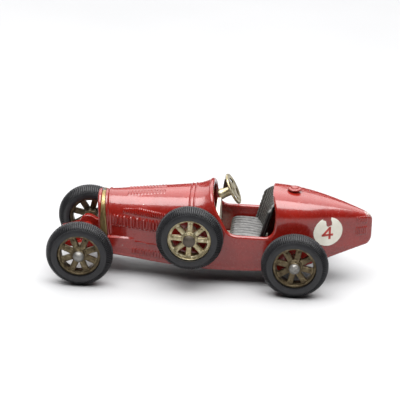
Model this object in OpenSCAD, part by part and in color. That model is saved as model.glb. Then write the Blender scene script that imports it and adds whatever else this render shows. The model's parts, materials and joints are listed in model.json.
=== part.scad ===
// Free-rolling die-cast model of a 1920s two-seat Grand Prix racing car, about 1:48 scale.
// +X is the nose, +Y is the car's left side, +Z is up. The origin is on the ground, in the middle.

/* [Wheels] */
// Distance between the front and the rear axle
wheelbase = 50; // [49:0.5:52]
// Distance between the tyres' middle planes on one axle
track = 22.7; // [22.6:0.1:24]
// Outside diameter of a tyre
tyre_d = 15.7; // [15.5:0.1:16]
// Diameter of the round section of a tyre
tyre_section_d = 4.4; // [4.2:0.1:4.5]
// Outside diameter of a wheel rim, where the tyre sits
rim_d = 10.2; // [9.8:0.1:10.4]
// Number of spokes in a wheel
spoke_count = 8; // [6:1:10]
// Width of a spoke
spoke_w = 1.55; // [1.2:0.05:1.7]
// Diameter of the axle rods
axle_d = 1.6; // [1.4:0.1:1.8]

/* [Body] */
// Length of the tail behind the rear axle
tail_overhang = 17.4; // [17:0.1:18]
// Distance from the rear axle forward to the front end of the bonnet
nose_d = 44.5; // [44:0.5:45]
// Half width of the bonnet at its front end
nose_w = 4.9; // [4.7:0.1:5.2]
// Height of the bonnet's top at its front end
nose_top = 19.4; // [19:0.1:20]
// Half width at the rear edge of the scuttle
scuttle_w = 7.7; // [7.4:0.1:7.9]
// Height of the scuttle's flared rear edge
scuttle_top = 23.2; // [22.8:0.1:23.8]
// Half width just behind the cockpit
seat_w = 7.9; // [7.6:0.1:8]
// Height of the tail's top just behind the cockpit
seat_top = 22.15; // [22:0.05:22.8]
// Thickness of the body casting's wall
wall = 1.2; // [1:0.1:1.4]
// Height of the cockpit's low edge on the left, passenger's side
low_edge_left = 12.75; // [12.5:0.05:14]
// Height of the cockpit's low edge on the right, driver's side
low_edge_right = 14.6; // [13.5:0.05:15]

/* [Fittings] */
// Outside diameter of the steering wheel
steering_d = 7.6; // [7.5:0.1:8.4]
// Angle of the steering column above the horizontal
steering_rake = 28; // [20:1:30]
// Diameter of the number roundel on each side of the tail
roundel_d = 7.1; // [6:0.1:7.2]
// Radial running clearance of every shaft in its bore
clearance = 0.05; // [0.03:0.01:0.08]

/* [Hidden] */
$fn = 64;

// Overall frame
tyre_r = tyre_d / 2;
axle_z = tyre_r;
rear_x = tail_overhang - (tail_overhang + wheelbase + tyre_r) / 2;
front_x = rear_x + wheelbase;
axle_r = axle_d / 2;
bore_r = axle_r + clearance;

// Stations along the body, as distances ahead of the rear axle
strap_d = 24.6;
scuttle_d = 19.9;
seat_d = 6;
tip_d = -tail_overhang;

// Height of the bonnet's widest line at its front end
nose_waist = 13.4;

// Tail lines: a curve in plan that turns into a straight taper
tail_curve_length = 12;
tail_taper = 0.41;
tail_rise = 0.31;
tip_round = 1.2;

// Lower edge of the body: a shallow curve, lowest under the scuttle
keel_d = 19;
keel_z = 3.8;
keel_bend = 0.0029;

// The chassis side member stands out below this height at the front of the bonnet
ledge_z = 10;
sill_w = 5.9;
tuck = 0.5;

// Wheel proportions
rim_r = rim_d / 2;
rim_bore_r = 4.25;
rim_half_w = 1.45;
hub_r = 1.9;
hub_out = 1.9;
hub_in = 2;
spoke_t = 0.8;
head_r = 1.3;
head_h = 1.1;

// Spare wheel on the left side of the scuttle
spare_d = 24.5;
spare_y = 11.2;
spare_z = 13.2;

// Base plate
plate_t = 1.1;
plate_z = 5.45;
plate_front_d = 43.1;
plate_rear_d = -12;
plate_bend_d = -1;
rivet_front_d = 38;
rivet_rear_d = -7.5;
rivet_r = 0.8;
rivet_head_r = 1.5;
post_r = 1.7;

// Cockpit
dash_d = 18.2;
dash_t = 0.8;
dash_top = 18.5;
floor_z = 8.3;
floor_t = 0.9;
cushion_top = 12.6;
column_r = 1.2;
steering_y = -3;

function mix(a, b, t) = a + (b - a) * t;
function clamp01(t) = min(1, max(0, t));

// Half width of the body at distance d ahead of the rear axle
function tail_w(s) = s < tail_curve_length
    ? seat_w - tail_taper / (2 * tail_curve_length) * s * s
    : seat_w - tail_taper * (s - tail_curve_length / 2);
function bonnet_w(t) = mix(scuttle_w, nose_w, t) + 0.25 * sin(180 * t);
function body_w(d) = d >= scuttle_d ? bonnet_w((d - scuttle_d) / (nose_d - scuttle_d))
    : d >= seat_d ? mix(seat_w, scuttle_w, (d - seat_d) / (scuttle_d - seat_d))
    : tail_w(seat_d - d);

// Height of the top of the body: a straight bonnet, a flared scuttle and a falling tail
strap_top = nose_top + 1.9;
bonnet_slope = (strap_top - nose_top) / (nose_d - strap_d);
flare = (scuttle_top - strap_top - bonnet_slope * (strap_d - scuttle_d)) / pow(strap_d - scuttle_d, 2);
function scuttle_z(s) = strap_top + bonnet_slope * s + flare * s * s;
function tail_top(s) = seat_top - 0.044 * s - 0.0078 * s * s;
function body_top(d) = d >= strap_d ? mix(strap_top, nose_top, (d - strap_d) / (nose_d - strap_d))
    : d >= scuttle_d ? scuttle_z(strap_d - d)
    : d >= seat_d ? mix(seat_top, scuttle_top, (d - seat_d) / (scuttle_d - seat_d))
    : tail_top(seat_d - d);

// Height of the body's widest line, its lower edge, and how square its shoulders are
function waist_z(d) = d >= scuttle_d ? mix(15.5, nose_waist, (d - scuttle_d) / (nose_d - scuttle_d)) : 15.2;
function body_low(d) = d >= 0 ? keel_z + keel_bend * pow(d - keel_d, 2)
    : keel_z + keel_bend * keel_d * keel_d - tail_rise * d;
function squareness(d) = mix(3, 2.2, clamp01(d / nose_d));

// Rounding of the tail's tip: 0 at the very end, 1 from tip_round forward
function tip_share(d) = sqrt(1 - pow(1 - clamp01((d - tip_d) / tip_round), 2));

function arch_point(a, w, waist, top, n) = [
    w * sign(cos(a)) * pow(abs(cos(a)), 2 / n),
    waist + (top - waist) * pow(abs(sin(a)), 2 / n)
];

// Outline of the body's cross-section, as [y, z] points from the right foot over the top to the left foot
function half_side(w, sill, waist, ledge, low) = [
    [sill - tuck * min(1, w / 4), low],
    [sill - tuck / 3 * min(1, w / 4), mix(low, ledge, 0.45)],
    [sill, ledge - 0.2],
    [w, ledge + 0.1],
    [w, mix(ledge, waist, 0.55)]
];
function section(d) = let (
    e = tip_share(d),
    w = max(0.15, body_w(d) * mix(0.3, 1, e)),
    top = body_top(d) - 1.3 * (1 - e),
    low = body_low(d) + 1.8 * (1 - e),
    waist = min(waist_z(d), top - 1.5),
    ledge = max(min(ledge_z, waist - 1), low + 0.8),
    sill = max(w, d > scuttle_d ? sill_w : 0),
    side = half_side(w, sill, waist, ledge, low),
    arch = [for (a = [0 : 10 : 180]) arch_point(a, w, waist, top, squareness(d))]
) concat(
    side,
    arch,
    [for (i = [len(side) - 1 : -1 : 0]) [-side[i][0], side[i][1]]]
);

// Outline of the hollow inside: the wall's thickness in from the outside, and open below
function hollow(d) = let (
    w = body_w(d) - wall,
    foot = w - tuck * min(1, w / 4),
    top = body_top(d) - wall,
    waist = min(waist_z(d), top - 1.5)
) concat(
    [[foot, body_low(d) - 3], [foot, mix(body_low(d), ledge_z, 0.5)], [w, mix(ledge_z, waist, 0.5)]],
    [for (a = [0 : 15 : 180]) arch_point(a, w, waist, top, squareness(d))],
    [[-w, mix(ledge_z, waist, 0.5)], [-foot, mix(body_low(d), ledge_z, 0.5)], [-foot, body_low(d) - 3]]
);

function at(d, outline) = [for (p = outline) [rear_x + d, p[0], p[1]]];

// The bonnet's front end leans forward towards its top
function nose_lean(z) = 0.1 * (z - nose_waist);
function nose_ring() = [for (p = section(nose_d)) [rear_x + nose_d + nose_lean(p[1]), p[0], p[1]]];

// A closed skin over rings that have the same number of points
module loft(rings) {
    n = len(rings[0]);
    last = (len(rings) - 1) * n;
    sides = [
        for (j = [0 : len(rings) - 2], i = [0 : n - 1])
            let (a = j * n + i, b = j * n + (i + 1) % n)
            each [[a, b + n, b], [a, a + n, b + n]]
    ];
    start = [for (i = [0 : n - 1]) i];
    end = [for (i = [n - 1 : -1 : 0]) last + i];
    polyhedron([for (r = rings) each r], concat([start], sides, [end]), convexity = 6);
}

outer_stations = concat(
    [0.02, 0.25, 0.6, 1.2, 3, 6, 9, 12, 15, 18, 21, 24] + [for (i = [1 : 12]) tip_d],
    [10, 14, 18, 19.9, 21.2, 22.4, 23.5, 24.6, 28, 32, 36, 40, 42.5]
);
hollow_stations = concat(
    [5, 8, 11, 14, 17, 20, 23.4] + [for (i = [1 : 7]) tip_d],
    [10, 15, 19.9, 22.4, 24.6, 30, 36],
    [nose_d - wall]
);

// Arc of a circle as points in the side view
function side_arc(c, r, from, to, steps) = [
    for (i = [0 : steps]) let (a = mix(from, to, i / steps)) [c[0] + r * cos(a), c[1] + r * sin(a)]
];

// Side view of the cockpit opening: the rear edge, round low corners and the front edge.
// The passenger's side is swept far forward and low, the driver's side stays high.
rear_edge = [[6.8, 30], [6.6, 22.6], [5.8, 21], [5.1, 19], [5.2, 16.8]];
front_edge = [[19.45, 20.8], [scuttle_d, scuttle_top], [20.1, 30]];
outline_left = concat(
    rear_edge,
    side_arc([7.7, low_edge_left + 2.4], 2.4, 190, 270, 4),
    side_arc([13.7, low_edge_left + 3.4], 3.4, 270, 325, 4),
    [[17.4, low_edge_left + 3.3], [18.9, 18.9]],
    front_edge
);
outline_right = concat(
    rear_edge,
    side_arc([7.7, low_edge_right + 2.4], 2.4, 190, 270, 4),
    side_arc([16.4, low_edge_right + 2.6], 2.6, 270, 350, 5),
    front_edge
);
module cockpit_cut(outline, side) {
    translate([rear_x, side > 0 ? 10 : 0, 0])
        rotate([90, 0, 0])
            linear_extrude(10)
                polygon(outline);
}

// A cylinder along Y between two places
module bar_y(r, y0, y1) {
    translate([0, y1, 0])
        rotate([90, 0, 0])
            cylinder(r = r, h = y1 - y0);
}

module rivet_post(d) {
    post_low = body_low(d) + 1.9;
    translate([rear_x + d, 0, post_low])
        difference() {
            cylinder(r = post_r, h = body_top(d) - wall / 2 - post_low);
            translate([0, 0, -1])
                cylinder(r = rivet_r, h = 4);
        }
}

module body_shell() {
    color("firebrick")
        difference() {
            union() {
                difference() {
                    loft(concat([for (d = outer_stations) at(d, section(d))], [nose_ring()]));
                    loft([for (d = hollow_stations) at(d, hollow(d))]);
                }
                rivet_post(rivet_front_d);
                rivet_post(rivet_rear_d);
            }
            cockpit_cut(outline_left, 1);
            cockpit_cut(outline_right, -1);
            // Slots that let the rear axle in from below
            translate([rear_x, 0, axle_z]) {
                bar_y(axle_r + 0.3, -10, 10);
                translate([-axle_r - 0.3, -10, -6])
                    cube([2 * axle_r + 0.6, 20, 6]);
            }
            // Hole for the spare wheel's stud
            translate([rear_x + spare_d, 0, spare_z])
                bar_y(axle_r, 4, 10);
            // Notch for the tongue of the front suspension
            translate([rear_x + nose_d - 2 * wall, -3, 0])
                cube([3 * wall, 6, 8]);
            // Hole for the fuel filler's stem
            translate([rear_x + filler_d, 0, 18])
                cylinder(r = filler_stem_r, h = 8);
        }
}

// Base plate: bent up under the tail, with two lugs that carry the rear axle
plate_side = [
    [plate_front_d, plate_z], [plate_bend_d, plate_z],
    [plate_rear_d, plate_z + tail_rise * (plate_bend_d - plate_rear_d)]
];
lug_half_length = 1.7;
lug_in = 3.9;
lug_out = 5.1;
module base_plate() {
    plan = [for (d = [plate_rear_d : 2.5 : plate_front_d]) [rear_x + d, body_w(d) - wall - tuck - 0.15]];
    color("dimgray")
        difference() {
            union() {
                intersection() {
                    translate([rear_x, 10, 0])
                        rotate([90, 0, 0])
                            linear_extrude(20)
                                polygon(concat(
                                    plate_side,
                                    [for (i = [2 : -1 : 0]) plate_side[i] + [0, plate_t]]
                                ));
                    linear_extrude(20)
                        polygon(concat(plan, [for (i = [len(plan) - 1 : -1 : 0]) [plan[i][0], -plan[i][1]]]));
                }
                for (side = [-1, 1])
                    translate([rear_x - lug_half_length, side > 0 ? lug_in : -lug_out, plate_z + plate_t / 2])
                        cube([2 * lug_half_length, lug_out - lug_in, axle_z - plate_z + axle_r + 0.3]);
            }
            translate([rear_x, 0, axle_z])
                bar_y(bore_r, -10, 10);
            rivet(rivet_front_d, plate_z);
            rivet(rivet_rear_d, tail_plate_z);
        }
}

// Two countersunk rivets that hold the base plate and the front suspension to the body's posts
tail_plate_z = plate_z + tail_rise * (plate_bend_d - rivet_rear_d - rivet_head_r);
module rivet(d, low) {
    translate([rear_x + d, 0, low]) {
        cylinder(r1 = rivet_head_r, r2 = rivet_r, h = 0.7);
        cylinder(r = rivet_r, h = body_low(d) + 4.4 - low);
    }
}
module base_rivets() {
    color("silver") {
        rivet(rivet_front_d, plate_z);
        rivet(rivet_rear_d, tail_plate_z);
    }
}

// Front suspension casting: two dumb irons with friction dampers, an axle beam and a tongue
iron_y = 5;
iron_t = 1.6;
beam_r = 1.5;
beam_end = 8.7;
iron_side = [
    [nose_d, 6], [nose_d, 9.6], [48, 9.9], [49, 10.6], [50, 10.8], [51, 10.3], [52, 9],
    [54, 8.2], [55.8, 7.7], [56.3, 7.3], [56, 6.9], [55, 6.8], [52.5, 7], [51.6, 6.2], [48.4, 6.2], [47.4, 6.7]
];
module front_suspension() {
    color("firebrick")
        difference() {
            union() {
                for (side = [-1, 1])
                    translate([rear_x, side * iron_y + iron_t / 2, 0])
                        rotate([90, 0, 0])
                            linear_extrude(iron_t)
                                polygon(iron_side);
                translate([front_x, 0, axle_z])
                    bar_y(beam_r, -beam_end, beam_end);
                // Friction dampers on the outside of the irons
                for (side = [-1, 1])
                    translate([front_x - 0.2, 0, 9.7])
                        bar_y(1.1, side > 0 ? iron_y : -iron_y - 1.6, side > 0 ? iron_y + 1.6 : -iron_y);
                // Cross tube between the tips of the irons
                translate([rear_x + 55.5, 0, 7.35])
                    bar_y(0.55, -iron_y, iron_y);
                // Apron and tongue
                translate([rear_x + nose_d, -iron_y, 6])
                    cube([3, 2 * iron_y, 1.1]);
                translate([rear_x + rivet_front_d - 2.2, -2.8, plate_z + plate_t])
                    cube([nose_d - rivet_front_d + 3, 5.6, 1]);
            }
            translate([front_x, 0, axle_z])
                bar_y(bore_r, -beam_end - 1, beam_end + 1);
            translate([rear_x + rivet_front_d, 0, 0])
                cylinder(r = post_r + 0.05, h = 12);
            // Seat for the foot of the radiator between the irons
            radiator_slice(nose_d - 1, band_front_d + bezel_t + 0.05, 0.12);
        }
}

// Radiator: the outline of the bonnet's front end, drawn smaller or larger by grow
band_front_d = 45.7;
bezel_t = 0.75;
radiator_low = 7.4;
function radiator_outline(grow) = let (w = nose_w + grow, top = nose_top + grow, low = radiator_low - grow) concat(
    [[w - 1.2, low], [w - 0.25, low + 2.2]],
    [for (a = [0 : 7.5 : 180]) arch_point(a, w, nose_waist, top, 2.2)],
    [[0.25 - w, low + 2.2], [1.2 - w, low]]
);
module radiator_slice(from_d, to_d, grow) {
    translate([rear_x + from_d, 0, 0])
        rotate([90, 0, 90])
            linear_extrude(to_d - from_d)
                polygon(radiator_outline(grow));
}
// Everything between two planes that lean forward as the bonnet's front end does
module leaning_slab(from_d, to_d) {
    translate([rear_x, 10, 0])
        rotate([90, 0, 0])
            linear_extrude(20)
                polygon([for (p = [[from_d, 0], [to_d, 0], [to_d, 25], [from_d, 25]]) p + [nose_lean(p[1]), 0]]);
}
module radiator_shell() {
    color("darkgoldenrod")
        difference() {
            intersection() {
                radiator_slice(nose_d - 1, band_front_d, 0.1);
                leaning_slab(nose_d, nose_d + 5);
            }
            radiator_slice(nose_d - 2, band_front_d + 1, -0.8);
            cap_hole(0);
        }
}
module radiator_bezel() {
    color("firebrick")
        difference() {
            intersection() {
                radiator_slice(band_front_d, band_front_d + 2, -0.15);
                leaning_slab(nose_d, band_front_d + bezel_t);
            }
            radiator_slice(band_front_d - 1, band_front_d + 3, -0.8);
            cap_hole(0.06);
        }
}
module radiator_core() {
    color("darkgoldenrod")
        intersection() {
            radiator_slice(nose_d - 1, band_front_d + 0.3, -0.8);
            leaning_slab(nose_d, nose_d + 5);
        }
}
cap_d = 45.7;
cap_r = 0.5;
module cap_hole(clearance) {
    translate([rear_x + cap_d, 0, nose_top - 2])
        cylinder(r = cap_r + clearance, h = 4);
}
module radiator_cap() {
    color("black")
        translate([rear_x + cap_d, 0, nose_top - 0.7])
            cylinder(r = cap_r, h = 0.95);
}

// Dashboard and floor, one moulding that stands on the base plate
floor_w = 5.6;
module dash_floor() {
    color("ivory") {
        difference() {
            translate([rear_x + dash_d, 0, 0])
                rotate([90, 0, 90])
                    linear_extrude(dash_t)
                        intersection() {
                            translate([0, dash_top - 7.4])
                                circle(r = 7.4);
                            translate([-6.1, floor_z - floor_t])
                                square([12.2, 20]);
                        }
            steering_axis()
                translate([0, 0, -8])
                    cylinder(r = column_r - 0.02, h = 16);
        }
        translate([rear_x + seat_d + 1, -floor_w, floor_z - floor_t])
            cube([dash_d + dash_t - seat_d - 1, 2 * floor_w, floor_t]);
        for (d = [9, 15])
            translate([rear_x + d, -4, plate_z + plate_t])
                cube([1.2, 8, floor_z - floor_t - plate_z - plate_t + 0.1]);
    }
}

// Seat: a cushion and a hollowed backrest in one moulding
cushion_front_d = 15.8;
cushion_rear_d = 8.6;
backrest_r = 12.5;
backrest_t = 0.9;
backrest_d = 8.7;
backrest_lean = 15;
// The backrest is turned a little, with its driver's side ahead
backrest_turn = 7;
module seat() {
    color("dimgray") {
        translate([rear_x, 5.9, 0])
            rotate([90, 0, 0])
                linear_extrude(11.8)
                    polygon(concat(
                        [[cushion_rear_d - 1, floor_z], [cushion_front_d, floor_z]],
                        side_arc([cushion_front_d - 1.4, cushion_top - 1.4], 1.4, 0, 90, 5),
                        [[cushion_rear_d - 1, cushion_top]]
                    ));
        intersection() {
            translate([rear_x + backrest_d, 0, cushion_top - 3])
                rotate([0, -backrest_lean, 0])
                    rotate([0, 0, backrest_turn])
                        translate([backrest_r, 0, 0])
                            difference() {
                                cylinder(r = backrest_r + backrest_t, h = 16);
                                translate([0, 0, -1])
                                    cylinder(r = backrest_r, h = 18);
                            }
            translate([rear_x, 0, 0])
                rotate([90, 0, 90])
                    linear_extrude(11.5)
                        intersection() {
                            translate([0, 14.2])
                                circle(r = 7.4);
                            translate([-6.2, floor_z])
                                square([12.4, 20]);
                        }
        }
    }
}

// Steering wheel and its thick column, one plated piece held in the dashboard
steering_hub_d = 15.5;
steering_hub_z = 20.2;
steering_web = 2.6;
module steering_axis() {
    translate([rear_x + steering_hub_d, steering_y, steering_hub_z])
        rotate([0, 90 + steering_rake, 0])
            children();
}
module steering_wheel() {
    color("khaki")
        steering_axis() {
            difference() {
                translate([0, 0, -0.3])
                    cylinder(r = steering_d / 2, h = 0.6);
                for (i = [0 : 3])
                    rotate([0, 0, 45 + 90 * i])
                        translate([steering_d / 4 + 0.35, 0, -1])
                            cylinder(r = 0.75, h = 2);
            }
            cylinder(r = column_r, h = 3.9);
            // Web that braces the upper half of the wheel against the column
            translate([-steering_web, -0.4, 0])
                cube([steering_web - 0.5, 0.8, 1.9]);
        }
}

// Fuel filler on the tail, pressed into the body
filler_d = 1.05;
filler_stem_r = 0.8;
module filler_cap() {
    filler_z = body_top(filler_d);
    color("firebrick")
        translate([rear_x + filler_d, 0, filler_z])
            rotate_extrude()
                polygon([
                    [0, -1.4], [filler_stem_r, -1.4], [filler_stem_r, -0.1], [1.15, -0.1], [1.15, 0.35],
                    [1.65, 0.45], [1.65, 0.7], [1.45, 0.8], [0.9, 0.85], [0.9, 1], [0.7, 1.1], [0, 1.1]
                ]);
}

// Number roundels, laid on the straight tapered sides of the tail
roundel_centre_d = -7.2;
roundel_centre_z = 14.05;
roundel_t = 0.2;
module roundel(side) {
    translate([rear_x + roundel_centre_d, side * (body_w(roundel_centre_d) - 0.1), roundel_centre_z])
        rotate([0, 0, side * atan(tail_taper)])
            rotate([side * -90, 0, 0])
                cylinder(r = roundel_d / 2, h = roundel_t);
}
module roundel_left() {
    color("ivory")
        roundel(1);
}
module roundel_right() {
    color("ivory")
        roundel(-1);
}

// A domed head at the end of a shaft along Z, with its flat face at the origin
module domed_head(r, h) {
    rotate_extrude()
        intersection() {
            translate([0, h - 1.6 * r])
                circle(r = 1.6 * r);
            square([r, h]);
        }
}

// Axle: a rod along Y with a domed head at each end, outside the wheel hubs
module axle() {
    head_y = track / 2 + hub_out + clearance;
    bar_y(axle_r, -head_y - 0.1, head_y + 0.1);
    for (side = [-1, 1])
        translate([0, side * head_y, 0])
            rotate([side * -90, 0, 0])
                domed_head(head_r, head_h);
}
module front_axle() {
    color("silver")
        translate([front_x, 0, axle_z])
            axle();
}
module rear_axle() {
    color("silver")
        translate([rear_x, 0, axle_z])
            axle();
}

// Spoked wheel with its axis along Z and its outside facing +Z
module wheel() {
    rotate_extrude()
        polygon([
            [rim_bore_r, -rim_half_w], [rim_r, -rim_half_w], [rim_r, rim_half_w],
            [rim_r - 0.4, rim_half_w], [rim_bore_r + 0.1, rim_half_w - 0.35], [rim_bore_r, rim_half_w - 0.5]
        ]);
    difference() {
        union() {
            translate([0, 0, -hub_in])
                cylinder(r = hub_r, h = hub_in + hub_out - 0.5);
            cylinder(r = head_r + 0.15, h = hub_out);
            for (i = [0 : spoke_count - 1])
                rotate([0, 0, (i + 0.5) * 360 / spoke_count])
                    translate([0, -spoke_w / 2, 0.2])
                        cube([rim_bore_r + 0.2, spoke_w, spoke_t]);
        }
        translate([0, 0, -hub_in - 1])
            cylinder(r = bore_r, h = hub_in + hub_out + 2);
    }
}
// Rubber tyre with a round section and a plain bore that grips the rim
module tyre() {
    section_r = tyre_section_d / 2;
    rotate_extrude()
        difference() {
            translate([tyre_r - section_r, 0])
                circle(r = section_r);
            translate([0, -tyre_r])
                square([rim_r, tyre_d]);
        }
}

// Puts a wheel or tyre at one end of an axle, with its outside facing away from the car
module at_wheel(x, side) {
    translate([x, side * track / 2, axle_z])
        rotate([side * -90, 0, 0])
            children();
}
module road_wheel(x, side) {
    color("darkkhaki")
        at_wheel(x, side)
            wheel();
}
module road_tyre(x, side) {
    color("#222222")
        at_wheel(x, side)
            tyre();
}

// Spare wheel on its stud on the left side of the body
module at_spare() {
    translate([rear_x + spare_d, spare_y, spare_z])
        rotate([-90, 0, 0])
            children();
}
module spare_stud() {
    stud_in = 5.6 - spare_y;
    shoulder_in = 7.1 - spare_y;
    color("gray")
        at_spare() {
            translate([0, 0, stud_in])
                cylinder(r = axle_r, h = hub_out + clearance + 0.1 - stud_in);
            translate([0, 0, shoulder_in])
                cylinder(r = 1.5, h = -hub_in - clearance - shoulder_in);
            translate([0, 0, hub_out + clearance])
                domed_head(1.45, 0.75);
        }
}
module spare_wheel() {
    color("khaki")
        at_spare()
            wheel();
}
module spare_tyre() {
    color("#222222")
        at_spare()
            tyre();
}

body_shell();
base_plate();
base_rivets();
front_suspension();
radiator_shell();
radiator_bezel();
radiator_core();
radiator_cap();
dash_floor();
seat();
steering_wheel();
filler_cap();
roundel_left();
roundel_right();
front_axle();
rear_axle();
road_wheel(front_x, 1);  // front_left_wheel
road_wheel(front_x, -1);  // front_right_wheel
road_wheel(rear_x, 1);  // rear_left_wheel
road_wheel(rear_x, -1);  // rear_right_wheel
road_tyre(front_x, 1);  // front_left_tyre
road_tyre(front_x, -1);  // front_right_tyre
road_tyre(rear_x, 1);  // rear_left_tyre
road_tyre(rear_x, -1);  // rear_right_tyre
spare_stud();
spare_wheel();
spare_tyre();
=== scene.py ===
"""Visual model of a die-cast vintage racing car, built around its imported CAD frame.

Lengths are in millimetres and turned into metres when a mesh is made. +X is the nose, +Y the car's left side.
A place along the body is d, the distance ahead of the rear axle.
"""
import json
import math
import random

import bmesh
import bpy
from mathutils import Matrix, Vector, noise

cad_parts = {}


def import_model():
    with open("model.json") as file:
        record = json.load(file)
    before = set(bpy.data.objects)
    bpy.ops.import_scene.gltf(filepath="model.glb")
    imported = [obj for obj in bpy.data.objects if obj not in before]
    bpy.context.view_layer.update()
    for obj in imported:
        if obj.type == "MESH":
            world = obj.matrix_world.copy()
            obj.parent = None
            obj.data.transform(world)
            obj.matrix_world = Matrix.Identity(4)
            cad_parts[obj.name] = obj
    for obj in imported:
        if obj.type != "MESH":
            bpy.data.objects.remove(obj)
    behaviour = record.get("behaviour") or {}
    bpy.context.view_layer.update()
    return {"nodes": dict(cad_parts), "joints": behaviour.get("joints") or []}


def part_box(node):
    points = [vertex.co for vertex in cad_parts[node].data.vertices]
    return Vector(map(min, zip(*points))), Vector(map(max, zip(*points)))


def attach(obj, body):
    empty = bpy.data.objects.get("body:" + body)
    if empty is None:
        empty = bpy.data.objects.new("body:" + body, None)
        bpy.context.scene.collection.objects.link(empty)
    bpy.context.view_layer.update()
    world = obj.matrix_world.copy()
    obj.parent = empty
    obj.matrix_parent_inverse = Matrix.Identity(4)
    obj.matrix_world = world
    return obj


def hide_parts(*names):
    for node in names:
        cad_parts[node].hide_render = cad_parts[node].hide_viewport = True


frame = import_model()

MM = 0.001
joint_at = {j["name"]: Vector(j["pos_m"]) / MM for j in frame["joints"]}
REAR_X = joint_at["rear_axle_spin"].x
FRONT_X = joint_at["front_axle_spin"].x
AXLE_Z = joint_at["rear_axle_spin"].z
SPARE_AT = joint_at["spare_wheel_spin"]


# ---------------------------------------------------------------- small helpers

def mix(a, b, t):
    """The value between a and b at t, which runs from 0 to 1."""
    return a + (b - a) * t


def clamp01(t):
    return min(1.0, max(0.0, t))


def smooth(t):
    """Eases from 0 to 1, and stays there outside that range."""
    t = clamp01(t)
    return t * t * (3 - 2 * t)


def arange(start, stop, step):
    """Evenly spaced values from start up to, but without, stop."""
    count = max(1, round(abs(stop - start) / step))
    return [start + (stop - start) * i / count for i in range(count)]


class Build:
    """Collects vertices and faces in millimetres, then makes one object of them."""

    def __init__(self):
        self.verts = []
        self.faces = []

    def add(self, verts, faces, matrix=None):
        base = len(self.verts)
        matrix = matrix or Matrix.Identity(4)
        self.verts += [matrix @ Vector(v) for v in verts]
        self.faces += [[base + i for i in face] for face in faces]
        return self

    def grid(self, rows, close_rows=False, close_cols=False, matrix=None):
        """A skin over rows of points. Rows and columns may close on themselves."""
        count = len(rows[0])
        row_steps = len(rows) if close_rows else len(rows) - 1
        col_steps = count if close_cols else count - 1
        faces = []
        for j in range(row_steps):
            for i in range(col_steps):
                a = j * count + i
                b = j * count + (i + 1) % count
                c = ((j + 1) % len(rows)) * count + (i + 1) % count
                d = ((j + 1) % len(rows)) * count + i
                faces.append([a, b, c, d])
        return self.add([p for row in rows for p in row], faces, matrix)

    def cap(self, ring, flip=False, matrix=None):
        """One flat face over a closed ring of points."""
        face = list(range(len(ring)))
        return self.add(ring, [face[::-1] if flip else face], matrix)

    def lathe(self, profile, steps=64, matrix=None, closed=False):
        """A profile of (radius, z) points turned about Z. Points on the axis share one vertex when welded."""
        turns = [math.tau * k / steps for k in range(steps)]
        rows = [[(r * math.cos(t), r * math.sin(t), z) for t in turns] for r, z in profile]
        return self.grid(rows, close_rows=closed, close_cols=True, matrix=matrix)

    def prism(self, near, far, matrix=None):
        """A closed solid between two outlines with the same number of points."""
        self.grid([near, far], close_cols=True, matrix=matrix)
        self.cap(near, matrix=matrix)
        return self.cap(far, flip=True, matrix=matrix)

    def make(self, name, material, sharp=35.0, weld=0.0005):
        """Makes the object: edges over sharp degrees stay crisp, and points nearer than weld are merged."""
        mesh = bpy.data.meshes.new(name)
        mesh.from_pydata([v * MM for v in self.verts], [], self.faces)
        obj = bpy.data.objects.new(name, mesh)
        bpy.context.scene.collection.objects.link(obj)
        clean(mesh, weld)
        shade(mesh, sharp)
        mesh.materials.append(material)
        return obj


def clean(mesh, weld):
    """Welds doubled vertices, drops faces without area and turns all faces outwards."""
    bm = bmesh.new()
    bm.from_mesh(mesh)
    bmesh.ops.remove_doubles(bm, verts=bm.verts, dist=weld * MM)
    bmesh.ops.dissolve_degenerate(bm, edges=bm.edges, dist=weld * MM / 5)
    bmesh.ops.recalc_face_normals(bm, faces=bm.faces)
    bm.to_mesh(mesh)
    bm.free()
    mesh.update()


def shade(mesh, sharp):
    """Smooth shading, with crisp edges where faces meet at more than sharp degrees."""
    mesh.polygons.foreach_set("use_smooth", [True] * len(mesh.polygons))
    mesh.set_sharp_from_angle(angle=math.radians(sharp))


def modify(obj, kind, sharp=None, **settings):
    """Adds one modifier, bakes it into the mesh and takes it off again."""
    modifier = obj.modifiers.new(kind, kind)
    for key, value in settings.items():
        setattr(modifier, key, value)
    graph = bpy.context.evaluated_depsgraph_get()
    mesh = bpy.data.meshes.new_from_object(obj.evaluated_get(graph))
    obj.modifiers.clear()
    obj.data = mesh
    if sharp is not None:
        shade(mesh, sharp)
    return obj


def cut(obj, tool):
    """Takes the closed solid tool out of obj."""
    modify(obj, "BOOLEAN", operation="DIFFERENCE", solver="MANIFOLD", object=tool)
    bpy.data.objects.remove(tool)
    return obj


def bevel(obj, width, segments=3):
    """Rounds every edge that turns by more than 32 degrees."""
    return modify(
        obj, "BEVEL", sharp=35.0, width=width * MM, segments=segments,
        limit_method="ANGLE", angle_limit=math.radians(32), harden_normals=False,
    )


def show(obj, body, slot, *nodes):
    """Takes in a finished piece: parents it to what it rides on and hides the CAD nodes it stands for. The
    slot argument is not used.
    """
    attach(obj, body)
    if nodes:
        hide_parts(*nodes)
    return obj


def extrude_y(outline, y0, y1):
    """A prism along Y over an outline of (x, z) points."""
    return Build().prism([(x, y0, z) for x, z in outline], [(x, y1, z) for x, z in outline])


def arc(centre, radius, start, stop, steps):
    """Points on an arc in a plane, angles in degrees."""
    angles = [math.radians(mix(start, stop, i / steps)) for i in range(steps + 1)]
    return [(centre[0] + radius * math.cos(a), centre[1] + radius * math.sin(a)) for a in angles]


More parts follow.
